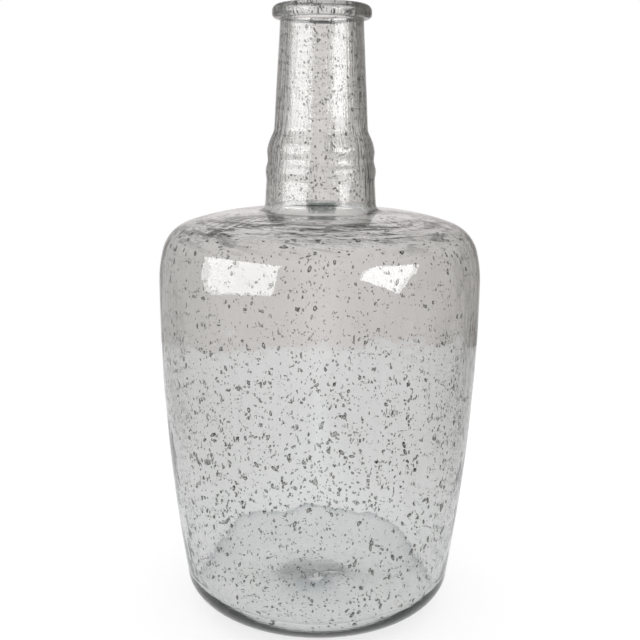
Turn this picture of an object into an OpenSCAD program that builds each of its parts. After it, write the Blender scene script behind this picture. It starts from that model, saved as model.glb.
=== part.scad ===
// Bottle vase of clear seeded glass, in millimetres, upright along +Z.
// The origin is the middle of the plane that the vase stands on.
// It is three portions of hot-joined glass: the blown body, the neck that stands on its
// shoulder, and the ring laid round the mouth. Each is turned from one half outline,
// and they touch face to face where the glass was joined.

/* [Base] */
// Outer radius of the flat ring that the vase stands on
ring_outer_r = 59; // [54:0.5:64]
// Width of that flat ring
ring_w = 8; // [5:0.5:14]
// Height that the middle of the underside is pressed up
punt_h = 9; // [5:0.5:16]
// Thickness of the glass in the base
base_t = 5.5; // [4:0.5:8]
// How far the rounded heel runs out beyond the standing ring
heel_w = 37; // [33:0.5:39]
// Height of the rounded heel, outside
heel_h = 25; // [20:0.5:32]
// Radius inside where the floor starts to curve up into the wall
floor_r = 59; // [53:0.5:64]
// Height above the floor where that inner curve meets the wall
inner_heel_h = 22.5; // [18:0.5:32]

/* [Wall and shoulder] */
// Thickness of the blown wall and shoulder
wall_t = 4; // [3:0.25:5.5]
// Largest outer radius of the body
belly_r = 111.7; // [106:0.1:118]
// Height at which the body reaches that radius
belly_z = 227; // [200:1:240]
// Height of the short upright stretch above it, before the shoulder starts
upright_h = 8; // [2:0.5:20]
// Radius of the first, slow turn of the wall into the shoulder
turn_round = 88; // [70:1:110]
// Angle that the slow turn leans the wall inwards, in degrees
turn_angle = 15; // [10:0.5:20]
// Radius of the tight corner of the shoulder
shoulder_round = 26; // [18:0.5:34]
// Angle at which the corner passes into the flat dome, in degrees from level
shoulder_angle = 70; // [64:0.5:74]
// Radius of the rounded inner edge of the opening that the neck stands on
opening_round = 2.5; // [1:0.25:2.75]

/* [Neck] */
// Radius at which the foot of the neck meets the shoulder
neck_foot_r = 43.4; // [40:0.1:48]
// Radius of the hollow blend between the foot and the shoulder
foot_blend = 5; // [2:0.25:7]
// Thickness of the neck
neck_t = 5.4; // [4:0.1:7]
// Height of the wide lower part of the neck, from the shoulder to the step
neck_low_h = 44.5; // [38:0.5:56]
// Outer radius at the top of that wide part
neck_low_r = 35.8; // [34.5:0.1:37.5]
// Height over which the step draws the neck in
step_h = 11; // [7:0.5:16]
// Outer radius just above the step
neck_mid_r = 32.2; // [30.5:0.1:34]
// Height of the slim upper part, from the step to the lip ring
neck_top_h = 71; // [50:1:110]
// Outer radius of the neck's end, which the lip ring is laid round
neck_end_r = 28.1; // [26.5:0.1:30]
// Height of the lower soft swelling above the shoulder
low_swell_h = 26.8; // [22:0.2:29]
// Height of the upper soft swelling above the shoulder
top_swell_h = 40.2; // [37.5:0.2:43]
// How far the lower swelling stands out
low_swell_out = 1.1; // [0:0.1:2]
// How far the upper swelling stands out
top_swell_out = 0.9; // [0:0.1:2]
// Half the height of either swelling
swell_half_h = 7.1; // [5:0.1:8]

/* [Mouth and lip] */
// Radius of the straight bore of the mouth
bore_r = 22.5; // [20:0.1:23.5]
// Length of the straight bore, below the rounded edge
bore_len = 12; // [8:0.5:20]
// Radius of the rounded inner edge of the mouth
mouth_round = 4; // [1:0.25:4.5]
// Outer radius of the lip ring
lip_r = 33.4; // [32:0.1:37]
// Height of the lip ring
lip_h = 9.2; // [8:0.1:13]
// Radius of the ring's lower outer edge
lip_low_round = 3.2; // [1:0.1:3.4]
// Radius of the ring's upper outer edge
lip_top_round = 4.4; // [1:0.1:4.5]

/* [Hidden] */

// Smoothness of the turned surfaces, and steps along one rounded stretch of an outline
$fn = 96;
arc_steps = 10;
// Height of one step along the shaped lower part of the neck
neck_step = 1.8;

ring_inner_r = ring_outer_r - ring_w;
heel_r = ring_outer_r + heel_w;

// The wall is one long arc, upright at the belly, that passes through the top of the heel.
wall_rise = belly_z - heel_h;
wall_flare = belly_r - heel_r;
wall_round = (wall_rise * wall_rise + wall_flare * wall_flare) / (2 * wall_flare);
wall_centre = [belly_r - wall_round, belly_z];
heel_top_angle = -asin(wall_rise / wall_round);

// Each arc of the shoulder starts where the one before it ends, with no corner.
// The dome's radius makes it level where the neck stands.
turn_centre = [belly_r - turn_round, belly_z + upright_h];
corner_centre = turn_centre + (turn_round - shoulder_round) * [cos(turn_angle), sin(turn_angle)];
dome_round = shoulder_round + (corner_centre[0] - neck_foot_r) / cos(shoulder_angle);
dome_centre = corner_centre
    + (shoulder_round - dome_round) * [cos(shoulder_angle), sin(shoulder_angle)];
seat_z = dome_centre[1] + dome_round;

// Inside of the base
floor_z = base_t;
inner_heel_z = floor_z + inner_heel_h;
inner_heel_r = wall_centre[0] + sqrt(pow(wall_round - wall_t, 2) - pow(belly_z - inner_heel_z, 2));
inner_heel_angle = -asin((belly_z - inner_heel_z) / (wall_round - wall_t));

// Heights of the neck and the mouth
neck_foot_outer_r = neck_foot_r - foot_blend;
opening_r = neck_foot_outer_r - neck_t;
step_top_h = neck_low_h + step_h;
lip_z = seat_z + step_top_h + neck_top_h;
top_z = lip_z + lip_h;
bore_z = top_z - mouth_round - bore_len;

// Points along a round stretch, from one angle to another
function arc(centre, radius, from, to) =
    [for (i = [0 : arc_steps])
        let (a = from + (to - from) * i / arc_steps)
        centre + radius * [cos(a), sin(a)]];

// Points along a quarter of an ellipse that starts level at its lowest point
function heel_curve(start_r, start_z, width, height) =
    [for (i = [0 : arc_steps])
        let (a = 90 * i / arc_steps)
        [start_r + width * sin(a), start_z + height * (1 - cos(a))]];

// Soft rise of the base inside the ring, level at the ring and at the middle
function punt_rise(r) = punt_h * (1 + cos(180 * min(1, r / ring_inner_r))) / 2;

// Underside from the middle outwards, and floor from its edge to the middle
function underside() =
    [for (i = [0 : arc_steps]) let (r = ring_inner_r * i / arc_steps) [r, punt_rise(r)]];
function floor_top() =
    [for (i = [1 : arc_steps])
        let (r = floor_r * (1 - i / arc_steps))
        [r, floor_z + punt_rise(r)]];

// Wall and shoulder from the heel up to the neck's seat, set in by a thickness
function wall_curve(inset, low_angle) = concat(
    arc(wall_centre, wall_round - inset, low_angle, 0),
    arc(turn_centre, turn_round - inset, 0, turn_angle),
    arc(corner_centre, shoulder_round - inset, turn_angle, shoulder_angle),
    arc(dome_centre, dome_round - inset, shoulder_angle, 90));

// The same outline run the other way
function reversed(points) = [for (i = [len(points) - 1 : -1 : 0]) points[i]];

// Soft step from 0 to 1, and soft bulge that is 1 in its middle and 0 beyond its half height
function soft_step(t) = t <= 0 ? 0 : t >= 1 ? 1 : t * t * (3 - 2 * t);
function bulge(h) = abs(h) >= swell_half_h ? 0 : (1 + cos(180 * h / swell_half_h)) / 2;

// Outer radius of the neck's shaped lower part, at a height above the shoulder
function neck_taper_r(h) =
    neck_foot_outer_r
    + (neck_low_r - neck_foot_outer_r) * min(1, (h - foot_blend) / (neck_low_h - foot_blend));
function neck_outer_r(h) =
    let (drawn_in = soft_step((h - neck_low_h) / step_h))
    neck_taper_r(h) * (1 - drawn_in) + neck_mid_r * drawn_in
    + low_swell_out * bulge(h - low_swell_h)
    + top_swell_out * bulge(h - top_swell_h);

neck_steps = round((step_top_h - foot_blend) / neck_step);
function neck_height(i) = foot_blend + (step_top_h - foot_blend) * i / neck_steps;
function neck_curve(inset) =
    [for (i = [0 : neck_steps]) let (h = neck_height(i)) [neck_outer_r(h) - inset, seat_z + h]];

// Blown vessel: base, heel, wall and shoulder, with the opening that the neck stands on
module body() {
    color([0.82, 0.84, 0.84, 0.55])
    rotate_extrude()
    polygon(concat(
        underside(),
        heel_curve(ring_outer_r, 0, heel_w, heel_h),
        wall_curve(0, heel_top_angle),
        [[opening_r, seat_z]],
        arc([opening_r + opening_round, seat_z - wall_t + opening_round], opening_round, 180, 270),
        reversed(wall_curve(wall_t, inner_heel_angle)),
        reversed(heel_curve(floor_r, floor_z, inner_heel_r - floor_r, inner_heel_h)),
        floor_top()));
}

// Neck: foot blended on to the shoulder, two soft swellings, step, slim tube and mouth
module neck() {
    color([0.78, 0.81, 0.81, 0.6])
    rotate_extrude()
    polygon(concat(
        [[opening_r, seat_z]],
        arc([neck_foot_r, seat_z + foot_blend], foot_blend, 270, 180),
        neck_curve(0),
        [[neck_end_r, lip_z], [neck_end_r, top_z]],
        arc([bore_r + mouth_round, top_z - mouth_round], mouth_round, 90, 180),
        [[bore_r, bore_z]],
        reversed(neck_curve(neck_t))));
}

// Lip ring: laid round the end of the neck, flush with it on top
module lip_ring() {
    color([0.7, 0.73, 0.73, 0.7])
    rotate_extrude()
    polygon(concat(
        [[neck_end_r, top_z], [neck_end_r, lip_z]],
        arc([lip_r - lip_low_round, lip_z + lip_low_round], lip_low_round, 270, 360),
        arc([lip_r - lip_top_round, top_z - lip_top_round], lip_top_round, 0, 90)));
}

body();
neck();
lip_ring();
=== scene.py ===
import math
import random

import bmesh
import bpy
import numpy as np
from mathutils import Euler, Matrix, Vector, noise
from mathutils.bvhtree import BVHTree


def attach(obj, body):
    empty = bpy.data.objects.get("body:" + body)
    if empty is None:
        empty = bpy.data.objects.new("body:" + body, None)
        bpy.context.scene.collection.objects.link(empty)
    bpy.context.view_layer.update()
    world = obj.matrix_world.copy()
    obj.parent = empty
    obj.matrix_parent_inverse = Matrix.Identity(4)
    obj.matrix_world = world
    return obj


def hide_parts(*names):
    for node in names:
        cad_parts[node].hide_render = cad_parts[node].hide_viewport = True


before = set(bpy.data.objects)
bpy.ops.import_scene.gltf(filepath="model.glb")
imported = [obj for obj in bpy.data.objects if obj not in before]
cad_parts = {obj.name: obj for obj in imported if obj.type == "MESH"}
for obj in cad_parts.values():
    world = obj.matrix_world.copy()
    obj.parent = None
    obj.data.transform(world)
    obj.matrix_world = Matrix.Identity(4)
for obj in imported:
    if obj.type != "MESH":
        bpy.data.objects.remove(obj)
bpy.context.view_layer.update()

bl_info = {
    "name": "Seeded glass bottle vase",
    "version": (1, 0, 0),
    "blender": (4, 5, 0),
    "location": "View3D > Sidebar > Bottle Vase",
    "description": "Blows a tall bottle vase of clear glass, fills its wall with small bubbles "
    "and sets it on a plain studio table",
    "category": "Object",
}

VESSEL = "glass_vessel"


def length(name, description, default):
    return bpy.props.FloatProperty(
        name=name, description=description, default=default, unit="LENGTH", subtype="DISTANCE",
        precision=5)


def amount(name, description, default, low=0.0, high=1000.0):
    return bpy.props.FloatProperty(
        name=name, description=description, default=default, min=low, max=high, precision=4)


def count(name, description, default):
    return bpy.props.IntProperty(name=name, description=description, default=default, min=1)


def colour(name, description, default):
    return bpy.props.FloatVectorProperty(
        name=name, description=description, default=default, size=3, min=0.0, max=1.0,
        subtype="COLOR")


def angle(name, description, default):
    return bpy.props.FloatProperty(
        name=name, description=description, default=math.radians(default), unit="ROTATION",
        subtype="ANGLE")


# ---------------------------------------------------------------- sizes and colours


class VaseSizes(bpy.types.PropertyGroup):
    """Sizes of the blown glass, in metres"""

    ring_outer_r: length("Ring radius", "Outer radius of the ring that the vase stands on", 0.059)
    ring_w: length("Ring width", "Width of that flat ring", 0.008)
    punt_h: length("Punt", "Height that the middle of the underside is pressed up", 0.009)
    base_t: length("Base", "Thickness of the glass in the base", 0.0055)
    heel_w: length("Heel width", "How far the heel runs out beyond the ring", 0.037)
    heel_h: length("Heel height", "Height of the rounded heel, outside", 0.025)
    floor_r: length("Floor radius", "Radius inside where the floor turns up", 0.059)
    inner_heel_h: length("Inner heel", "Height of the inner curve above the floor", 0.0225)
    wall_t: length("Wall", "Thickness of the blown wall", 0.004)
    belly_r: length("Belly radius", "Largest outer radius of the body", 0.1117)
    belly_z: length("Belly height", "Height of the largest radius", 0.227)
    upright_h: length("Upright", "Upright stretch above the belly", 0.008)
    turn_round: length("Turn", "Radius of the slow turn below the shoulder", 0.088)
    turn_angle: angle("Turn angle", "Lean at the end of the slow turn", 15.0)
    shoulder_round: length("Corner", "Radius of the corner of the shoulder", 0.026)
    shoulder_angle: angle("Corner angle", "Slope where the corner meets the dome", 70.0)
    opening_round: length("Opening edge", "Rounded edge below the neck, inside", 0.0080)
    neck_foot_r: length("Neck foot", "Radius at which the neck meets the shoulder", 0.0434)
    foot_blend: length("Foot blend", "Radius of the hollow blend at the neck's foot", 0.005)
    neck_t: length("Neck wall", "Thickness of the neck", 0.0054)
    neck_low_h: length("Low neck", "Height of the wide part of the neck", 0.0445)
    neck_low_r: length("Low neck radius", "Radius at the top of the wide part", 0.0358)
    step_h: length("Step", "Height over which the neck draws in", 0.011)
    neck_mid_r: length("Mid neck radius", "Radius just above the step", 0.0322)
    neck_top_h: length("Slim neck", "Height of the slim part of the neck", 0.071)
    neck_end_r: length("Neck end", "Radius of the neck's end", 0.0281)
    low_swell_h: length("Low swelling", "Height of the lower swelling", 0.0268)
    top_swell_h: length("Top swelling", "Height of the upper swelling", 0.0402)
    low_swell_out: length("Low swelling out", "How far the lower swelling stands out", 0.0011)
    top_swell_out: length("Top swelling out", "How far the upper swelling stands out", 0.0009)
    swell_half_h: length("Swelling half", "Half the height of either swelling", 0.0071)
    bore_r: length("Bore", "Radius of the straight bore of the mouth", 0.0225)
    bore_len: length("Bore length", "Length of the straight bore", 0.012)
    mouth_round: length("Mouth edge", "Rounded inner edge of the mouth", 0.004)
    lip_r: length("Lip radius", "Outer radius of the lip", 0.0334)
    lip_h: length("Lip height", "Height of the lip", 0.0092)
    lip_low_round: length("Lip low edge", "Radius of the lip's lower edge", 0.0032)
    lip_top_round: length("Lip top edge", "Radius of the lip's upper edge", 0.0044)
    turns: count("Facets round", "Faces round the axis", 176)
    wave: length("Waves", "Depth of the slow waves in the blown wall", 0.0006)
    wave_span: length("Wave span", "Length of the slow waves", 0.048)
    pool_out: length("Pool step", "How much thicker the base is below its pool line", 0.0003)
    pool_soft: length("Pool edge", "Height over which that step fades out", 0.0018)


class GlassLook(bpy.types.PropertyGroup):
    """Colours and finish of the glass and its bubbles"""

    tint: colour("Glass tint", "What one wall lets through", (0.945, 0.945, 0.94))
    cord_tint: colour("Cord tint", "Tint of the faint streaks in the glass", (0.90, 0.90, 0.892))
    # Painted shade: greys the pool for the shadowed table seen through the base, beyond what its
    # thicker glass gives
    pool_shade_tint: colour("Pool tint", "How much greyer the pool of glass in the base is",
                      (0.37, 0.41, 0.425))
    # Painted reflection: dark streaks in the shoulder's rings, standing for the dark ceiling
    # mirrored there
    streak_reflection_tint: colour("Streak tint", "Tint of the dark streaks on the shoulder",
                        (0.30, 0.31, 0.30))
    ground_rough: amount("Ground spot", "Roughness in the middle of the underside", 0.45)
    # Painted shade: colour of the dark spot painted at the front of the neck's foot
    foot_shade_tint: colour("Joint tint", "Tint of the thick spot where the neck is joined on",
                       (0.34, 0.37, 0.36))
    depth_tint: colour("Depth tint", "Colour that thick glass takes", (0.60, 0.615, 0.60))
    depth: amount("Depth", "How fast thick glass darkens, per metre", 62.0)
    cord_bump: amount("Cords", "Strength of the fine upright streaks", 0.14)
    neck_cords: amount("Neck cords", "How much stronger the streaks are in the neck", 4.0)
    ripple_bump: amount("Ripples", "Strength of the rings on the shoulder", 0.8)
    seed_middle: colour("Bubble middle", "What the middle of a bubble lets through",
                        (0.86, 0.86, 0.85))
    # Painted shade: the darker rim of each bubble, by how far it turns from the view
    seed_rim_shade: colour("Bubble edge", "What the edge of a bubble lets through",
                      (0.17, 0.17, 0.165))


class SeedCounts(bpy.types.PropertyGroup):
    """How many bubbles each zone of the glass holds"""

    wall_low: count("Lower wall", "Bubbles in the lower wall", 4000)
    wall_high: count("Upper wall", "Bubbles in the upper wall", 3600)
    right: count("Right side", "Long bubbles in the wall towards +X", 170)
    left: count("Left side", "Long bubbles in the wall towards -X", 80)
    shoulder: count("Shoulder", "Bubbles in the shoulder", 1100)
    neck: count("Neck", "Bubbles in the neck", 3000)
    base: count("Base", "Bubbles in the base and heel", 1500)
    lip: count("Lip", "Bubbles in the lip", 600)


class StageLook(bpy.types.PropertyGroup):
    """The table, the backdrop, the lamps and the camera"""

    table_r: length("Table radius", "Radius of the round table top", 0.85)
    table_seen: colour("Table", "Table top as glass shows it", (0.97, 0.975, 0.99))
    backdrop: colour("Backdrop", "Middle of the backdrop as glass shows it", (0.86, 0.82, 0.82))
    left_side: colour("Left side", "Backdrop and table far to the left", (0.54, 0.53, 0.52))
    right_side: colour("Right side", "Backdrop and table far to the right", (0.33, 0.315, 0.30))
    ceiling: colour("Ceiling", "Dark studio ceiling", (0.17, 0.175, 0.17))
    lamp_left: amount("Left lamp", "Brightness of the left lamp in reflections", 5.3)
    lamp_right: amount("Right lamp", "Brightness of the right lamp in reflections", 6.6)
    camera_y: length("Camera distance", "Distance of the camera from the axis", 0.6603)
    camera_z: length("Camera height", "Height of the camera", 0.3413)
    camera_tilt: angle("Camera tilt", "How far the camera looks down", 11.597)
    camera_roll: angle("Camera roll", "How far the camera is turned about its view", 0.514)
    lens: amount("Lens", "Focal length in millimetres", 53.35)


# ---------------------------------------------------------------- half outline of the glass

# Steps along the round stretches of the outline, from the heel up to the neck
WALL_STEPS, TURN_STEPS, CORNER_STEPS, DOME_STEPS = 52, 8, 16, 30
# Steps of the corner that count as wall where bubbles are placed
WALL_CORNER_STEPS = 6
# Radius of the hollow crease under the lip
CREASE = 0.0020
# Lowest and highest point, and length, of the short faces that the pool line needs
POOL_FACES = (0.011, 0.035, 0.0007)
# Points of the wall that are left out round the edge of the opening: so far outside it, and
# so far below the neck
EDGE_BESIDE, EDGE_BELOW = 0.001, 0.02
# How far bubbles keep from the neck's two ends, and from the lip's ends, outside and bore
NECK_LOW_END, NECK_TOP_END = 0.004, 0.002
LIP_END, LIP_OUT, LIP_IN = 0.0026, 0.0012, 0.002


def arc(centre, radius, start, end, steps):
    """Points on a round stretch; start and end in radians."""
    turned = [start + (end - start) * i / steps for i in range(steps + 1)]
    return [(centre[0] + radius * math.cos(a), centre[1] + radius * math.sin(a)) for a in turned]


def heel_curve(start_r, start_z, width, height, steps):
    """Points on a quarter of an ellipse that starts level at its lowest point."""
    turned = [math.pi / 2 * i / steps for i in range(steps + 1)]
    return [(start_r + width * math.sin(a), start_z + height * (1 - math.cos(a))) for a in turned]


def soft_step(t):
    """Rises smoothly from 0 to 1."""
    t = min(1.0, max(0.0, t))
    return t * t * (3 - 2 * t)


def towards_middle(steps):
    """Shares of a radius from 0 to 1, closer together near the middle."""
    return [(i / steps) ** 1.5 for i in range(steps + 1)]


def finer(points, low, high, gap):
    """Adds points between two heights, where the pool line needs short faces."""
    found = [points[0]]
    for (r0, z0), (r1, z1) in zip(points, points[1:]):
        parts = 1
        if low < (z0 + z1) / 2 < high:
            parts = math.ceil(math.hypot(r1 - r0, z1 - z0) / gap)
        found += [(r0 + (r1 - r0) * i / parts, z0 + (z1 - z0) * i / parts)
                  for i in range(1, parts + 1)]
    return found


class Outline:
    """The half outline of the vase, from the sizes. Points are pairs of radius and height."""

    def __init__(self, s):
        self.s = s
        rise = s.belly_z - s.heel_h
        flare = s.belly_r - s.ring_outer_r - s.heel_w
        self.wall_round = (rise * rise + flare * flare) / (2 * flare)
        self.wall_centre = (s.belly_r - self.wall_round, s.belly_z)
        self.heel_top = -math.asin(rise / self.wall_round)
        self.turn_centre = (s.belly_r - s.turn_round, s.belly_z + s.upright_h)
        reach = s.turn_round - s.shoulder_round
        self.corner_centre = (self.turn_centre[0] + reach * math.cos(s.turn_angle),
                              self.turn_centre[1] + reach * math.sin(s.turn_angle))
        self.dome_round = s.shoulder_round + (self.corner_centre[0] - s.neck_foot_r) / math.cos(
            s.shoulder_angle)
        back = s.shoulder_round - self.dome_round
        self.dome_centre = (self.corner_centre[0] + back * math.cos(s.shoulder_angle),
                            self.corner_centre[1] + back * math.sin(s.shoulder_angle))
        self.seat_z = self.dome_centre[1] + self.dome_round
        self.inner_heel_z = s.base_t + s.inner_heel_h
        inner = self.wall_round - s.wall_t
        self.inner_heel_r = self.wall_centre[0] + math.sqrt(
            inner ** 2 - (s.belly_z - self.inner_heel_z) ** 2)
        self.inner_heel_angle = -math.asin((s.belly_z - self.inner_heel_z) / inner)
        self.foot_outer_r = s.neck_foot_r - s.foot_blend
        self.opening_r = self.foot_outer_r - s.neck_t
        self.step_top = s.neck_low_h + s.step_h
        self.lip_z = self.seat_z + self.step_top + s.neck_top_h
        self.top_z = self.lip_z + s.lip_h
        self.bore_z = self.top_z - s.mouth_round - s.bore_len

    def punt(self, r):
        """How far the base is pressed up at a radius."""
        edge = self.s.ring_outer_r - self.s.ring_w
        return self.s.punt_h * (1 + math.cos(math.pi * min(1.0, r / edge))) / 2

    def neck_r(self, h):
        """Outer radius of the neck at a height above the shoulder."""
        s = self.s
        if h > self.step_top:
            up = (h - self.step_top) / s.neck_top_h
            return s.neck_mid_r + (s.neck_end_r - s.neck_mid_r) * up
        low = self.foot_outer_r + (s.neck_low_r - self.foot_outer_r) * min(
            1, (h - s.foot_blend) / (s.neck_low_h - s.foot_blend))
        drawn = soft_step((h - s.neck_low_h) / s.step_h)
        swell = 0
        for middle, out in ((s.low_swell_h, s.low_swell_out), (s.top_swell_h, s.top_swell_out)):
            if abs(h - middle) < s.swell_half_h:
                swell += out * (1 + math.cos(math.pi * (h - middle) / s.swell_half_h)) / 2
        return low * (1 - drawn) + s.neck_mid_r * drawn + swell

    def neck_in(self, h):
        """Inner radius of the neck at a height above the shoulder."""
        s = self.s
        up = min(1, (h - self.step_top) / (self.bore_z - self.seat_z - self.step_top))
        high = s.neck_mid_r - s.neck_t + (s.bore_r - s.neck_mid_r + s.neck_t) * up
        low = self.foot_outer_r - s.neck_t + (s.neck_low_r - self.foot_outer_r) * min(
            1, (h - s.foot_blend) / (s.neck_low_h - s.foot_blend))
        drawn = soft_step((h - s.neck_low_h + s.step_h) / (3 * s.step_h))
        return low * (1 - drawn) + high * drawn

    def wall(self, inset, low):
        """From the heel up over the shoulder to the neck, set in by a thickness."""
        s = self.s
        return (arc(self.wall_centre, self.wall_round - inset, low, 0, WALL_STEPS)[:-1]
                + arc(self.turn_centre, s.turn_round - inset, 0, s.turn_angle, TURN_STEPS)[:-1]
                + arc(self.corner_centre, s.shoulder_round - inset, s.turn_angle,
                      s.shoulder_angle, CORNER_STEPS)[:-1]
                + arc(self.dome_centre, self.dome_round - inset, s.shoulder_angle,
                      math.pi / 2, DOME_STEPS))

    def outside(self):
        """From the middle of the underside up to the rim of the lip."""
        s = self.s
        ring_in = s.ring_outer_r - s.ring_w
        under = [(ring_in * t, self.punt(ring_in * t)) for t in towards_middle(18)]
        heights = [s.foot_blend + (self.step_top + s.neck_top_h - s.foot_blend - CREASE) * i / 72
                   for i in range(73)]
        neck = [(self.neck_r(h), self.seat_z + h) for h in heights]
        foot = arc((s.neck_foot_r, self.seat_z + s.foot_blend), s.foot_blend,
                   math.radians(270), math.radians(180), 6)
        crease = arc((s.neck_end_r + CREASE, self.lip_z - CREASE), CREASE,
                     math.pi, math.pi / 2, 5)[1:]
        lip = (arc((s.lip_r - s.lip_low_round, self.lip_z + s.lip_low_round), s.lip_low_round,
                   math.radians(270), math.radians(360), 9)
               + arc((s.lip_r - s.lip_top_round, self.top_z - s.lip_top_round), s.lip_top_round,
                     0, math.pi / 2, 10))
        return (under + heel_curve(s.ring_outer_r, 0, s.heel_w, s.heel_h, 16)[:-1]
                + self.wall(0, self.heel_top)[:-1] + foot[:-1] + neck + crease + lip)

    def inside(self):
        """From the rim of the mouth down to the middle of the floor."""
        s = self.s
        rim = arc((s.bore_r + s.mouth_round, self.top_z - s.mouth_round), s.mouth_round,
                  math.pi / 2, math.pi, 9)
        low = s.opening_round - s.wall_t
        heights = [self.bore_z - self.seat_z + (low - self.bore_z + self.seat_z) * i / 62
                   for i in range(63)]
        neck = [(self.neck_in(max(h, s.foot_blend)), self.seat_z + h) for h in heights]
        edge = arc((self.opening_r + s.opening_round, self.seat_z - s.wall_t + s.opening_round),
                   s.opening_round, math.pi, math.radians(270), 10)
        wall = self.wall(s.wall_t, self.inner_heel_angle)[::-1]
        wall = [p for p in wall if p[0] > self.opening_r + s.opening_round + EDGE_BESIDE
                or p[1] < self.seat_z - EDGE_BELOW]
        heel = heel_curve(s.floor_r, s.base_t, self.inner_heel_r - s.floor_r, s.inner_heel_h,
                          24)[::-1]
        floor = [(s.floor_r * t, s.base_t + self.punt(s.floor_r * t))
                 for t in towards_middle(20)[-2::-1]]
        return rim + neck + edge + finer(wall + heel[1:], *POOL_FACES) + floor

    def stations(self):
        """Places in the middle of the glass: zone, radius, height, normal (r, z), thickness."""
        s = self.s
        found = []

        def run(zone, outer, inner):
            for (r0, z0), (r1, z1) in zip(outer, inner):
                t = math.hypot(r0 - r1, z0 - z1)
                found.append((zone, (r0 + r1) / 2, (z0 + z1) / 2, (r0 - r1) / t, (z0 - z1) / t, t))

        floor_rs = [s.floor_r * i / 40 for i in range(1, 41)]
        run("base", [(r, self.punt(r)) for r in floor_rs],
            [(r, s.base_t + self.punt(r)) for r in floor_rs])
        run("base", heel_curve(s.ring_outer_r, 0, s.heel_w, s.heel_h, 20),
            heel_curve(s.floor_r, s.base_t, self.inner_heel_r - s.floor_r, s.inner_heel_h, 20))
        whole, inset = (self.wall(t, self.inner_heel_angle) for t in (0, s.wall_t))
        split = WALL_STEPS + TURN_STEPS + WALL_CORNER_STEPS
        run("wall", whole[:split], inset[:split])
        run("shoulder", whole[split:-1], inset[split:-1])
        neck_h = self.step_top + s.neck_top_h - NECK_LOW_END - NECK_TOP_END
        neck_hs = [NECK_LOW_END + neck_h * i / 80 for i in range(81)]
        run("neck", [(self.neck_r(max(h, s.foot_blend)), self.seat_z + h) for h in neck_hs],
            [(self.neck_in(max(h, s.foot_blend)), self.seat_z + h) for h in neck_hs])
        ring_zs = [self.lip_z + LIP_END + (s.lip_h - 2 * LIP_END) * i / 8 for i in range(9)]
        run("lip", [(s.lip_r - LIP_OUT, z) for z in ring_zs],
            [(s.bore_r + LIP_IN, z) for z in ring_zs])
        return found


# ---------------------------------------------------------------- small helpers


def clear_choice():
    bpy.ops.object.select_all(action="DESELECT")


def choose(piece):
    clear_choice()
    piece.select_set(True)
    bpy.context.view_layer.objects.active = piece


def settle(piece, material, nodes=()):
    """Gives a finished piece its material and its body."""
    piece.data.materials.clear()
    piece.data.materials.append(material)
    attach(piece, "root")
    if nodes:
        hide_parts(*nodes)


# ---------------------------------------------------------------- node helpers

# Distance between the nodes of a laid out tree
NODE_COLUMN, NODE_ROW = 220, 190


def clean_tree(owner):
    """Gives a new material or world its nodes, and clears them."""
    owner.use_nodes = True
    owner.node_tree.nodes.clear()
    return owner.node_tree


def add(tree, kind, inputs=(), **settings):
    """Adds a node. Its inputs come out of another node, or are a plain number or colour."""
    node = tree.nodes.new(kind)
    for key, value in settings.items():
        setattr(node, key, value)
    for name, value in dict(inputs).items():
        socket = node.inputs[name]
        if isinstance(value, bpy.types.NodeSocket):
            tree.links.new(value, socket)
        elif isinstance(value, (int, float)):
            socket.default_value = value
        else:
            socket.default_value = (*value, 1)
    return node


def maths(tree, operation, *values):
    return add(tree, "ShaderNodeMath", enumerate(values), operation=operation).outputs[0]


def fade(tree, value, low, high, start=0.0, end=1.0):
    """Goes smoothly from start to end while a value goes from low to high."""
    inputs = {"Value": value, "From Min": low, "From Max": high, "To Min": start, "To Max": end}
    return add(tree, "ShaderNodeMapRange", inputs, interpolation_type="SMOOTHSTEP").outputs[0]


def blend(tree, share, first, second, kind="MIX"):
    """Mixes two colours by a share from 0 to 1."""
    inputs = {"Factor": share, "A": first, "B": second}
    mixed = add(tree, "ShaderNodeMix", inputs, data_type="RGBA", blend_type=kind)
    return mixed.outputs["Result"]


def place_of(tree, output):
    """The x, y and z of the shown point."""
    place = add(tree, "ShaderNodeTexCoord").outputs[output]
    return add(tree, "ShaderNodeSeparateXYZ", {0: place}).outputs


def away_from_axis(tree, x, y):
    squares = [maths(tree, "MULTIPLY", way, way) for way in (x, y)]
    return maths(tree, "SQRT", maths(tree, "ADD", *squares))


def pattern(tree, where, detail, rough):
    """Noise at a place that is given as three values."""
    place = add(tree, "ShaderNodeCombineXYZ", enumerate(where)).outputs[0]
    inputs = {"Vector": place, "Scale": 1.0, "Detail": detail, "Roughness": rough}
    return add(tree, "ShaderNodeTexNoise", inputs).outputs["Fac"]


def by_glass(tree):
    """1 for what is seen through glass or mirrored in it, otherwise 0."""
    path = add(tree, "ShaderNodeLightPath").outputs
    return maths(tree, "MAXIMUM", path["Is Transmission Ray"], path["Is Glossy Ray"])


def close(tree, kind, inputs):
    """Ends a tree in its output node, and sets the nodes out in columns towards it."""
    end = add(tree, kind, inputs)
    columns, waiting = {end.name: 0}, [end]
    while waiting:
        node = waiting.pop()
        for feeder in (link.from_node for socket in node.inputs for link in socket.links):
            if columns.get(feeder.name, 0) <= columns[node.name]:
                columns[feeder.name] = columns[node.name] + 1
                waiting.append(feeder)
    filled = {}
    for name, column in columns.items():
        filled[column] = filled.get(column, 0) + 1
        tree.nodes[name].location = (-NODE_COLUMN * column, -NODE_ROW * filled[column])


# ---------------------------------------------------------------- materials

MATERIAL_END = "ShaderNodeOutputMaterial"
GLASS_IOR = 1.5
WHITE = (1, 1, 1)

# Scales of the patterns in the glass: round the axis for its radius, the others per metre
CORDS_ROUND, CORDS_UP = 16, 24
RINGS_ROUND, RINGS_OUT = 3.5, 150
SKIN_GRAIN, SPOT_GRAIN, SEED_GRAIN = 110, 560, 900
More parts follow.
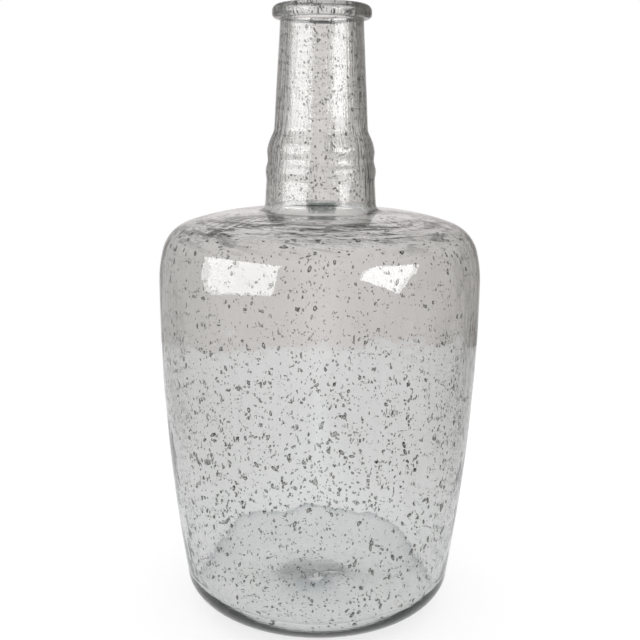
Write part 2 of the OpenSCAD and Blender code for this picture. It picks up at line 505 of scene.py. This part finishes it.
# Share of the fine relief of the skin, and full height of the relief of the glass
SKIN_BUMP, GLASS_RELIEF = 0.24, 0.0005
# Share and full height of the relief of a bubble
SEED_BUMP, SEED_RELIEF = 0.4, 0.0002
# Heights over which the rings and the neck's stronger cords begin, the base turns from calm
# to full relief, and the glass turns clear
RINGS_FROM, NECK_FROM = (0.262, 0.272), (0.285, 0.300)
CALM_TO, CLEAR_FROM = (0.012, 0.050), (0.252, 0.272)
CLEAR_TINT = (0.995, 0.995, 0.99)
# Radii over which the rings begin, what is left of them inside, and of the relief in the base
RINGS_RADII, RINGS_LEFT, CALM_LEFT = (0.060, 0.082), 0.05, 0.12
# Noise over which a ring turns into a streak of painted dark reflection, and over which the spot
# of painted shade fades in, and what is left of the spot in its pale flecks
REFLECTION_STREAK_NOISE, FLECK_NOISE, FLECK_LEFT = (0.52, 0.62), (0.35, 0.43), 0.15
# The spot of painted shade at the neck's foot: its middle in x, and where each of its edges fades
SPOT_X = 0.0008
SPOT_LOW, SPOT_TOP = (0.2844, 0.2854), (0.2910, 0.2924)
SPOT_SIDE, SPOT_FRONT = (0.0072, 0.0104), (-0.030, -0.020)

# The table where the camera sees it: its matt part and its glow
TABLE_MATT, TABLE_GLOW = (0.46, 0.46, 0.46), 0.72
# Width over which the table's far edge fades into the backdrop
TABLE_FADE = 0.09
# Share of the way aside where the sides of the studio start to darken, and where they are
# darkest on the table and in the backdrop
SIDES_START, TABLE_SIDES, ROOM_SIDES = 0.02, 0.67, 0.57
# How far in front of the vase the way aside on the table is measured from
TABLE_VIEW_Y = 0.66
# Rise of the view over which the backdrop turns into ceiling
CEILING_FROM = (0.64, 0.84)
MATT_LIGHT = (0.75, 0.75, 0.75)
# A lamp's brightness seen through glass, and how many faces of glass its bright view may pass
LAMP_PLAIN, LAMP_FACES = 0.9, 3.5


def new_material(name):
    material = bpy.data.materials.new(name)
    return material, clean_tree(material)


def painted_foot_shade(tree, x, y, z):
    """1 on the broken spot of painted shade at the front of the neck's foot, otherwise 0."""
    aside = maths(tree, "ABSOLUTE", maths(tree, "SUBTRACT", x, SPOT_X))
    spot = 1.0
    for value, edge, start, end in ((z, SPOT_LOW, 0, 1), (z, SPOT_TOP, 1, 0),
                                    (aside, SPOT_SIDE, 1, 0), (y, SPOT_FRONT, 1, 0)):
        spot = maths(tree, "MULTIPLY", fade(tree, value, *edge, start, end), spot)
    where = [maths(tree, "MULTIPLY", way, SPOT_GRAIN) for way in (x, y, z)]
    flecks = fade(tree, pattern(tree, where, 2.0, 0.6), *FLECK_NOISE, FLECK_LEFT)
    return maths(tree, "MULTIPLY", flecks, spot)


def seeded_glass(look):
    """Clear glass with a grey cast, fine upright cords, and rings on the shoulder, with painted
    reflection streaks on the shoulder and painted shade at the neck's foot and in the base.
    """
    material, tree = new_material("seeded_glass")

    def times(first, second):
        return maths(tree, "MULTIPLY", first, second)

    x, y, z = place_of(tree, "Object")
    out = away_from_axis(tree, x, y)
    safe = maths(tree, "MAXIMUM", out, 0.001)
    round_x, round_y = (maths(tree, "DIVIDE", way, safe) for way in (x, y))
    cords = pattern(tree, (times(round_x, CORDS_ROUND), times(round_y, CORDS_ROUND),
                           times(z, CORDS_UP)), 2.5, 0.55)
    ring_round = maths(tree, "ADD", times(round_x, RINGS_ROUND), times(z, RINGS_OUT))
    rings = pattern(tree, (times(out, RINGS_OUT), ring_round, times(round_y, RINGS_ROUND)),
                    3.0, 0.6)
    skin = pattern(tree, [times(way, SKIN_GRAIN) for way in (x, y, z)], 1.0, 0.5)
    dome = times(fade(tree, z, *RINGS_FROM), fade(tree, out, *RINGS_RADII, RINGS_LEFT))

    cord_relief = times(times(cords, look.cord_bump),
                        fade(tree, z, *NECK_FROM, 1.0, look.neck_cords))
    relief = maths(tree, "ADD", cord_relief, times(times(rings, look.ripple_bump), dome))
    relief = maths(tree, "ADD", relief, times(skin, SKIN_BUMP))
    relief = times(relief, fade(tree, z, *CALM_TO, CALM_LEFT))
    bump = add(tree, "ShaderNodeBump",
               {"Strength": 1.0, "Distance": GLASS_RELIEF, "Height": relief})

    shade = blend(tree, cords, look.tint, look.cord_tint)
    shade = blend(tree, fade(tree, z, *CLEAR_FROM), shade, CLEAR_TINT)
    # Painted reflection: the rings on the shoulder are darkened where they would mirror the dark
    # ceiling
    shade = blend(tree, times(fade(tree, rings, *REFLECTION_STREAK_NOISE), dome), shade, look.streak_reflection_tint)
    # Painted shade: a dark spot at the front of the neck's foot
    shade = blend(tree, painted_foot_shade(tree, x, y, z), shade, look.foot_shade_tint)
    # The pool mark is partly thicker glass and mostly painted shade of the shadowed table seen
    # through the base
    pool = add(tree, "ShaderNodeAttribute", attribute_name="pool").outputs["Fac"]
    shade = blend(tree, 1.0, shade, blend(tree, pool, WHITE, look.pool_shade_tint), "MULTIPLY")

    ground = add(tree, "ShaderNodeAttribute", attribute_name="ground").outputs["Fac"]
    glass = add(tree, "ShaderNodeBsdfPrincipled", {
        "Base Color": shade, "Roughness": times(ground, look.ground_rough), "IOR": GLASS_IOR,
        "Transmission Weight": 1.0, "Normal": bump.outputs[0]})
    depth = add(tree, "ShaderNodeVolumeAbsorption",
                {"Color": look.depth_tint, "Density": look.depth})
    close(tree, MATERIAL_END, {"Surface": glass.outputs[0], "Volume": depth.outputs[0]})
    return material


def seed_air(look):
    """The skin of a bubble: light goes from glass into air and back."""
    material, tree = new_material("seed_air")
    place = add(tree, "ShaderNodeTexCoord").outputs["Object"]
    grain = add(tree, "ShaderNodeTexNoise", {"Scale": SEED_GRAIN, "Vector": place})
    bump = add(tree, "ShaderNodeBump", {
        "Strength": SEED_BUMP, "Distance": SEED_RELIEF, "Height": grain.outputs["Fac"]})
    # Painted shade: bubbles darken towards their rim, by how far they turn from the view
    rim = add(tree, "ShaderNodeLayerWeight", {"Blend": 0.5}).outputs["Facing"]
    air = add(tree, "ShaderNodeBsdfGlass", {
        "Color": blend(tree, rim, look.seed_middle, look.seed_rim_shade), "Roughness": 0.0,
        "IOR": 1 / GLASS_IOR, "Normal": bump.outputs[0]})
    close(tree, MATERIAL_END, {"Surface": air.outputs[0]})
    return material


def darker_sides(tree, middle, look, x, y, reach):
    """The studio falls off to both sides of the middle, more to the right."""
    away = maths(tree, "MAXIMUM", away_from_axis(tree, x, y), 0.01)
    aside = maths(tree, "DIVIDE", x, away)
    shade = middle
    for side, sign in ((look.left_side, -1.0), (look.right_side, 1.0)):
        far = fade(tree, maths(tree, "MULTIPLY", aside, sign), SIDES_START, reach)
        shade = blend(tree, far, shade, side)
    return shade


def table_top(look):
    """White table: keeps the shadow, and glass shows it cooler than the backdrop."""
    material, tree = new_material("white_table")
    matt = add(tree, "ShaderNodeBsdfDiffuse", {"Color": TABLE_MATT})
    glow = add(tree, "ShaderNodeEmission", {"Color": WHITE, "Strength": TABLE_GLOW})
    white = add(tree, "ShaderNodeAddShader", {0: matt.outputs[0], 1: glow.outputs[0]})
    x, y, _ = place_of(tree, "Object")
    edge = fade(tree, y, look.table_r - TABLE_FADE, look.table_r)
    shade = darker_sides(tree, blend(tree, edge, look.table_seen, look.backdrop), look, x,
                         maths(tree, "ADD", y, TABLE_VIEW_Y), TABLE_SIDES)
    shown = add(tree, "ShaderNodeEmission", {"Color": shade})
    both = add(tree, "ShaderNodeMixShader",
               {0: by_glass(tree), 1: white.outputs[0], 2: shown.outputs[0]})
    close(tree, MATERIAL_END, {"Surface": both.outputs[0]})
    return material


def soft_lamp(name, brightness):
    """Lamp cloth: bright where glass mirrors it, plain where it is seen through glass."""
    material, tree = new_material(name)
    path = add(tree, "ShaderNodeLightPath").outputs
    mirrored = maths(tree, "MINIMUM", path["Glossy Depth"], 1.0)
    near = maths(tree, "LESS_THAN", path["Transmission Depth"], LAMP_FACES)
    extra = maths(tree, "MULTIPLY", maths(tree, "MULTIPLY", mirrored, near),
                  brightness - LAMP_PLAIN)
    glow = add(tree, "ShaderNodeEmission", {"Strength": maths(tree, "ADD", extra, LAMP_PLAIN)})
    clear = add(tree, "ShaderNodeBsdfTransparent")
    shown = add(tree, "ShaderNodeMixShader",
                {0: path["Is Camera Ray"], 1: glow.outputs[0], 2: clear.outputs[0]})
    close(tree, MATERIAL_END, {"Surface": shown.outputs[0]})
    return material


def light_world(scene, look):
    """White for the camera; glass shows a pale backdrop under a dark ceiling."""
    world = bpy.data.worlds.new("studio")
    scene.world = world
    tree = clean_tree(world)
    x, y, z = place_of(tree, "Generated")
    sides = darker_sides(tree, look.backdrop, look, x, y, ROOM_SIDES)
    room = blend(tree, fade(tree, z, *CEILING_FROM), sides, look.ceiling)
    shown = blend(tree, by_glass(tree), MATT_LIGHT, room)
    camera = add(tree, "ShaderNodeLightPath").outputs["Is Camera Ray"]
    glow = add(tree, "ShaderNodeBackground", {"Color": blend(tree, camera, shown, WHITE)})
    close(tree, "ShaderNodeOutputWorld", {"Surface": glow.outputs[0]})


# ---------------------------------------------------------------- blown glass

# Shortest step of the drawn outline, and the distance at which points are merged
SHORTEST, MERGED = 1e-6, 2e-6
# Where the waves of the wall start, and the heights over which they grow and die out
WAVES_START, WAVES_GROW, WAVES_DIE = 0.010, 0.03, 0.02
# Share of the waves' depth that goes into the glass
WAVES_IN = 0.88
# Middle and half width, in x and in y, of the worn spot under the base
WORN_X, WORN_Y = (-0.005, 0.025), (0.014, 0.034)
# Highest point of the underside that is ground, and highest that the pool can reach
GROUND_TOP, POOL_TOP = 0.0095, 0.040
# How much painted shade greys the pool all over, in a soft and a thin band below its line (share,
# height), and over the worn middle: shade of the table seen through the base, and the pool line's
# dark edge
POOL_SHADE, SOFT_SHADE_BAND, THIN_SHADE_BAND, MIDDLE_SHADE = 0.06, (0.48, 0.0085), (0.44, 0.0022), 0.38


def add_outline(name, points):
    """Draws the half outline by extruding one vertex from point to point."""
    clear_choice()
    first = Vector((points[0][0], 0, points[0][1]))
    bpy.ops.mesh.primitive_plane_add(size=0.001, location=(0, 0, 0))
    piece = bpy.context.active_object
    piece.name = piece.data.name = name
    bpy.ops.object.mode_set(mode="EDIT")
    bpy.ops.mesh.select_all(action="SELECT")
    bpy.ops.mesh.merge(type="CENTER")
    bpy.ops.transform.translate(value=first)
    last = first
    for r, z in points[1:]:
        here = Vector((r, 0, z))
        if (here - last).length < SHORTEST:
            continue
        bpy.ops.mesh.extrude_vertices_move(TRANSFORM_OT_translate={"value": here - last})
        last = here
    return piece


def spin_closed(piece, turns):
    """Spins the drawn outline into closed glass with its faces outwards."""
    bpy.ops.mesh.select_all(action="SELECT")
    bpy.ops.mesh.spin(steps=turns, angle=2 * math.pi, center=(0, 0, 0), axis=(0, 0, 1))
    bpy.ops.mesh.select_all(action="SELECT")
    bpy.ops.mesh.remove_doubles(threshold=MERGED)
    bpy.ops.mesh.normals_make_consistent(inside=False)
    bpy.ops.mesh.select_all(action="DESELECT")
    bpy.ops.object.mode_set(mode="OBJECT")
    bpy.ops.object.shade_smooth()


def displace(piece, name, weights, depth, middle, texture=None):
    """Pushes the faces of a piece in or out along their normals, by a weight for each vertex."""
    group = piece.vertex_groups.new(name=name)
    for index, weight in weights:
        group.add([index], weight, "REPLACE")
    modifier = piece.modifiers.new(name, "DISPLACE")
    if texture:
        modifier.texture = texture
        modifier.texture_coords = "LOCAL"
    modifier.direction = "NORMAL"
    modifier.mid_level = middle
    modifier.strength = depth
    modifier.vertex_group = name
    choose(piece)
    bpy.ops.object.modifier_apply(modifier=modifier.name)
    piece.vertex_groups.remove(piece.vertex_groups[name])


def blow_waves(piece, sizes, top_z):
    """Slow uneven waves of a blown wall, which leave the foot and the rim true."""
    weights = []
    for v in piece.data.vertices:
        weight = (soft_step((v.co.z - WAVES_START) / WAVES_GROW)
                  * soft_step((top_z - v.co.z) / WAVES_DIE))
        if weight > 0:
            weights.append((v.index, weight))
    texture = bpy.data.textures.new("blown_waves", "CLOUDS")
    texture.noise_scale = sizes.wave_span
    texture.noise_depth = 1
    displace(piece, "blown", weights, sizes.wave, WAVES_IN, texture)
    bpy.data.textures.remove(texture)


# Heights of the pool line, inside the base: turn from the back towards +X in degrees, height
POOL_LINE = (
    (-170, 0.0140), (-150, 0.0140), (-128, 0.0150), (-105, 0.0190), (-90, 0.0170),
    (-75, 0.0160), (-58, 0.0190), (-45, 0.0290), (-35, 0.0285), (-18, 0.0250), (-5, 0.0290),
    (10, 0.0262), (30, 0.0277), (45, 0.0235), (60, 0.0170), (75, 0.0130), (90, 0.0145),
    (105, 0.0170), (128, 0.0175), (146, 0.0150), (168, 0.0140))


def pool_height(turn):
    """Height of the pool line at a turn in degrees, run smoothly from mark to mark."""
    marks = POOL_LINE + ((POOL_LINE[0][0] + 360, POOL_LINE[0][1]),)
    if turn < marks[0][0]:
        turn += 360
    for (a0, z0), (a1, z1) in zip(marks, marks[1:]):
        if a0 <= turn <= a1:
            return z0 + (z1 - z0) * soft_step((turn - a0) / (a1 - a0))
    return marks[0][1]


def pour_pool(piece, sizes):
    """The floor's glass runs up the wall to an uneven line, and is a little thicker below it.
    Marks where it is greyed with painted shade, and the softly ground spot in the middle of the
    underside."""
    raised, pool, ground = [], [], []
    for v in piece.data.vertices:
        x, y, z = v.co
        worn = math.exp(-(((x - WORN_X[0]) / WORN_X[1]) ** 2
                          + ((y - WORN_Y[0]) / WORN_Y[1]) ** 2) ** 2)
        ground.append(worn if z < GROUND_TOP and v.normal.z < 0 else 0.0)
        below = 0.0
        if z < POOL_TOP and v.normal.z > 0:
            line = pool_height(math.degrees(math.atan2(x, y)))
            below = soft_step((line - z) / sizes.pool_soft)
            deep = max(0.0, line - z - sizes.pool_soft)
            if below > 0:
                raised.append((v.index, below))
            soft, thin = (share * math.exp(-deep / high) for share, high in (SOFT_SHADE_BAND, THIN_SHADE_BAND))
            below *= POOL_SHADE + soft + thin + MIDDLE_SHADE * worn
        pool.append(below)
    for name, numbers in (("pool", pool), ("ground", ground)):
        mark = piece.data.attributes.new(name, "FLOAT", "POINT")
        mark.data.foreach_set("value", numbers)
    displace(piece, "raised", raised, sizes.pool_out, 0.0)


# ---------------------------------------------------------------- bubbles

# Typical length of the bubbles, how much it varies, and the longest
SMALL_SEEDS, MIDDLE_SEEDS = (0.00115, 0.50, 0.0045), (0.00145, 0.52, 0.0060)
# For each piece: its zone, its number, the lengths, how much the bubbles lean, and the rest
SEED_ZONES = (
    ("seeds_wall_low", "wall", "wall_low", MIDDLE_SEEDS, 0.5, {"high_z": 0.15}),
    ("seeds_wall_high", "wall", "wall_high", SMALL_SEEDS, 0.35,
     {"low_z": 0.15, "dense": lambda z: 1.6 if z < 0.19 else 0.8}),
    ("seeds_right", "wall", "right", (0.0030, 0.35, 0.0070), 0.25,
     {"low_z": 0.07, "high_z": 0.20, "facing": 0.0}),
    ("seeds_left", "wall", "left", (0.0028, 0.35, 0.0060), 0.25,
     {"low_z": 0.10, "high_z": 0.24, "facing": math.pi}),
    ("seeds_shoulder", "shoulder", "shoulder", (0.0017, 0.5, 0.0060), 0.2, {"around": True}),
    ("seeds_neck", "neck", "neck", (0.00100, 0.45, 0.0030), 0.4, {}),
    ("seeds_base", "base", "base", SMALL_SEEDS, 1.5, {}),
    ("seeds_lip", "lip", "lip", (0.0009, 0.4, 0.0022), 1.0, {"around": True}),
)
SEED_LUCK = 41
# Thinnest glass over a bubble, and the cover that a bubble is given where there is room
LEAST_COVER, SAFE_COVER = 0.00005, 0.0003
# The middle of the base takes bubbles as if it had at least this radius
LEAST_RADIUS = 0.004
# Bubbles lie in clumps: clumps per metre, how much they count, and what is left empty
CLUMP_GRAIN, CLUMP_SHARE, CLUMP_LIMIT = 40, 0.5, 0.2
# Width for each length, and depth for each width, from and to
WIDTHS, DEPTHS = (0.38, 0.8), (0.7, 1.0)
# The widest bubble, and the part of the wall's thickness that the deepest one takes
WIDEST, DEEPEST = 0.0022, 0.55
# How far bubbles stray up or down, and round from the way that their zone faces
STRAY_UP, STRAY_ROUND = 0.002, 0.22
# How often a bubble is an oval, a drop or a bent one
SHAPE_ODDS = (5, 3, 3)


def seed_shapes():
    """Models three bubbles of a millimetre as by hand: an oval, a drop and a bent one."""
    shapes = []
    for kind in ("oval", "drop", "bent"):
        clear_choice()
        bpy.ops.mesh.primitive_uv_sphere_add(segments=8, ring_count=4, radius=1,
                                             location=(0, 0, 0))
        seed = bpy.context.active_object
        mesh = bmesh.new()
        mesh.from_mesh(seed.data)
        for v in mesh.verts:
            x, y, z = v.co
            if kind == "drop":
                narrow = 1 - 0.55 * soft_step((z + 0.2) / 1.2)
                v.co = (x * narrow, y * narrow, z * (1.0 if z < 0 else 1.25) - 0.12)
            elif kind == "bent":
                v.co = (x * (1 - 0.25 * abs(z)) + 0.32 * z * z - 0.12, y, z)
            else:
                v.co = (x * (1 + 0.12 * z), y, z)
        bmesh.ops.triangulate(mesh, faces=mesh.faces)
        mesh.to_mesh(seed.data)
        mesh.free()
        faces = np.empty(len(seed.data.polygons) * 3, np.int32)
        seed.data.polygons.foreach_get("vertices", faces)
        points = np.empty(len(seed.data.vertices) * 3, np.float32)
        seed.data.vertices.foreach_get("co", points)
        shapes.append((points.reshape(-1, 3), faces.reshape(-1, 3)))
        bpy.data.objects.remove(seed)
    return shapes


def within(skin, points):
    """Whether all points of a bubble lie inside the glass, with a little glass over them."""
    for point in points:
        near, normal, _, _ = skin.find_nearest(point)
        if (Vector(point) - near).dot(normal) > -LEAST_COVER:
            return False
    return True


def fill_with_seeds(name, shapes, places, skin):
    """Copies the modelled bubbles to their places and joins the copies into one piece."""
    all_points, all_faces, used = [], [], 0
    for kind, matrix in places:
        points, faces = shapes[kind]
        turned = points @ np.array(matrix.to_3x3()).T + np.array(matrix.translation)
        if not within(skin, turned):
            continue
        all_points.append(turned)
        all_faces.append(faces + used)
        used += len(points)
    mesh = bpy.data.meshes.new(name)
    mesh.from_pydata(np.concatenate(all_points).tolist(), [],
                     np.concatenate(all_faces).tolist())
    mesh.update()
    piece = bpy.data.objects.new(name, mesh)
    bpy.context.scene.collection.objects.link(piece)
    choose(piece)
    bpy.ops.object.shade_smooth()
    return piece


def seed_places(stations, number, luck, sizes, lean, low_z=-1.0, high_z=9.0, around=False,
                dense=None, facing=None):
    """Picks where bubbles lie in the glass, how long they are and how they lean."""
    typical, spread, longest = sizes
    chosen = [station for station in stations if low_z <= station[1] < high_z]
    weights = [max(r, LEAST_RADIUS) * (dense(z) if dense else 1.0) for r, z, *_ in chosen]
    places = []
    while len(places) < number:
        r, z, nr, nz, t = luck.choices(chosen, weights)[0]
        if facing is None:
            turn = luck.uniform(0, 2 * math.pi)
        else:
            turn = facing + luck.gauss(0, STRAY_ROUND)
        spot = Vector((r * math.cos(turn), r * math.sin(turn), z))
        if noise.noise(spot * CLUMP_GRAIN) * CLUMP_SHARE + luck.random() < CLUMP_LIMIT:
            continue
        long = min(longest, typical * math.exp(luck.gauss(0, spread)))
        wide = long * luck.uniform(*WIDTHS)
        deep = min(wide * luck.uniform(*DEPTHS), t * DEEPEST)
        wide = min(wide, WIDEST)
        out = Vector((nr * math.cos(turn), nr * math.sin(turn), nz)).normalized()
        along = Vector((-math.sin(turn), math.cos(turn), 0))
        up = out.cross(along).normalized()
        if around:
            up, along = along, -up
        tilt = luck.gauss(0, lean)
        axis = (up * math.cos(tilt) + along * math.sin(tilt)).normalized()
        side = axis.cross(out).normalized()
        lie = Matrix((side, out, axis)).transposed().to_4x4()
        room = max(0.0, t / 2 - deep / 2 - SAFE_COVER)
        spot += out * luck.uniform(-room, room) + up * luck.uniform(-STRAY_UP, STRAY_UP)
        size = Matrix.Diagonal((wide / 2, deep / 2, long / 2, 1))
        kind = luck.choices(range(len(SHAPE_ODDS)), SHAPE_ODDS)[0]
        places.append((kind, Matrix.Translation(spot) @ lie @ size))
    return places


# ---------------------------------------------------------------- operators


class VASE_OT_blow_vessel(bpy.types.Operator):
    """Draws the half outline of the vase and spins it into one closed skin of glass"""

    bl_idname = "vase.blow_vessel"
    bl_label = "Blow the Vessel"

    def execute(self, context):
        sizes, look = context.scene.vase_sizes, context.scene.vase_look
        outline = Outline(sizes)
        piece = add_outline(VESSEL, outline.outside() + outline.inside())
        spin_closed(piece, sizes.turns)
        pour_pool(piece, sizes)
        blow_waves(piece, sizes, outline.top_z)
        settle(piece, seeded_glass(look), ("body", "neck", "lip_ring"))
        return {"FINISHED"}


class VASE_OT_seed_glass(bpy.types.Operator):
    """Fills every zone of the glass with small bubbles"""

    bl_idname = "vase.seed_glass"
    bl_label = "Seed the Glass"

    def execute(self, context):
        counts, look = context.scene.vase_seeds, context.scene.vase_look
        stations = Outline(context.scene.vase_sizes).stations()
        skin = BVHTree.FromObject(bpy.data.objects[VESSEL], context.evaluated_depsgraph_get())
        shapes, air = seed_shapes(), seed_air(look)
        luck = random.Random(SEED_LUCK)
        for name, zone, number, sizes, lean, more in SEED_ZONES:
            places = seed_places([station for in_zone, *station in stations if in_zone == zone],
                                 getattr(counts, number), luck, sizes, lean, **more)
            settle(fill_with_seeds(name, shapes, places, skin), air)
        return {"FINISHED"}


# The table has this many sides, and lies a little lower than the vase
TABLE_FACETS, TABLE_DROP = 128, 0.0004
# How often light may pass through glass, and be mirrored
GLASS_BOUNCES, MIRROR_BOUNCES = 32, 16
# Width of the camera's sensor in millimetres, and its shift as a share of the picture
SENSOR_WIDTH, SHIFT_X = 36.0, 0.00106
# Distance of the lamps' corners, and the height on the axis that it is measured from
LAMP_DISTANCE, LAMP_MIDDLE = 1.3, 0.25
# Corners of the two lamps: turn from the front towards +X and height, in degrees
LEFT_LAMP = ((-81, -5), (-30, -1), (-26, 27.5), (-90, 24))
RIGHT_LAMP = ((26, 11.5), (52.5, -1), (75, 19), (40.5, 26.5))


class VASE_OT_set_stage(bpy.types.Operator):
    """Sets the vase on a white table with a plain backdrop, two soft lamps and the camera"""

    bl_idname = "vase.set_stage"
    bl_label = "Set the Stage"

    def execute(self, context):
        look = context.scene.vase_stage
        scene = context.scene
        clear_choice()
        bpy.ops.mesh.primitive_circle_add(vertices=TABLE_FACETS, radius=look.table_r,
                                          fill_type="NGON", location=(0, 0, -TABLE_DROP))
        table = context.active_object
        table.name = "table"
        bpy.ops.object.transform_apply(location=True, rotation=False, scale=False)
        table.data.materials.append(table_top(look))
        hang_lamp("lamp_left", LEFT_LAMP, soft_lamp("left_cloth", look.lamp_left))
        hang_lamp("lamp_right", RIGHT_LAMP, soft_lamp("right_cloth", look.lamp_right))
        light_world(scene, look)
        set_camera(scene, look)
        scene.view_settings.view_transform = "Standard"
        scene.cycles.max_bounces = GLASS_BOUNCES
        scene.cycles.transmission_bounces = GLASS_BOUNCES
        scene.cycles.glossy_bounces = MIRROR_BOUNCES
        return {"FINISHED"}


def hang_lamp(name, corners, cloth):
    """A lamp is one sheet of bright cloth between four corners."""
    clear_choice()
    bpy.ops.mesh.primitive_plane_add(size=1, location=(0, 0, 0))
    lamp = bpy.context.active_object
    lamp.name = name
    # A new plane counts its corners row by row, and the lamp's corners run round it
    for v, i in zip(lamp.data.vertices, (0, 1, 3, 2)):
        turn, up = (math.radians(a) for a in corners[i])
        v.co = (LAMP_DISTANCE * math.cos(up) * math.sin(turn),
                -LAMP_DISTANCE * math.cos(up) * math.cos(turn),
                LAMP_MIDDLE + LAMP_DISTANCE * math.sin(up))
    lamp.data.materials.append(cloth)


def set_camera(scene, look):
    """The camera stands in front, and looks down on the vase."""
    bpy.ops.object.camera_add(location=(0, -look.camera_y, look.camera_z))
    camera = bpy.context.active_object
    camera.name = "camera"
    aim = Euler((math.pi / 2 - look.camera_tilt, 0, 0)).to_matrix()
    roll = Euler((0, 0, look.camera_roll)).to_matrix()
    camera.rotation_euler = (aim @ roll).to_euler()
    camera.data.lens = look.lens
    camera.data.sensor_width = SENSOR_WIDTH
    camera.data.shift_x = SHIFT_X
    scene.camera = camera


class VASE_PT_maker(bpy.types.Panel):
    """The steps that make the vase, in order"""

    bl_label = "Bottle Vase"
    bl_idname = "VASE_PT_maker"
    bl_space_type = "VIEW_3D"
    bl_region_type = "UI"
    bl_category = "Bottle Vase"

    def draw(self, context):
        for step in STEPS:
            self.layout.operator(step.bl_idname)


STEPS = (VASE_OT_blow_vessel, VASE_OT_seed_glass, VASE_OT_set_stage)
GROUPS = {"vase_sizes": VaseSizes, "vase_look": GlassLook, "vase_seeds": SeedCounts,
          "vase_stage": StageLook}


def register():
    for group in (*GROUPS.values(), *STEPS, VASE_PT_maker):
        bpy.utils.register_class(group)
    for name, group in GROUPS.items():
        setattr(bpy.types.Scene, name, bpy.props.PointerProperty(type=group))


def unregister():
    for name in GROUPS:
        delattr(bpy.types.Scene, name)
    for group in reversed((*GROUPS.values(), *STEPS, VASE_PT_maker)):
        bpy.utils.unregister_class(group)


def main():
    register()
    bpy.ops.vase.blow_vessel()
    bpy.ops.vase.seed_glass()
    bpy.ops.vase.set_stage()


if __name__ == "__main__":
    main()
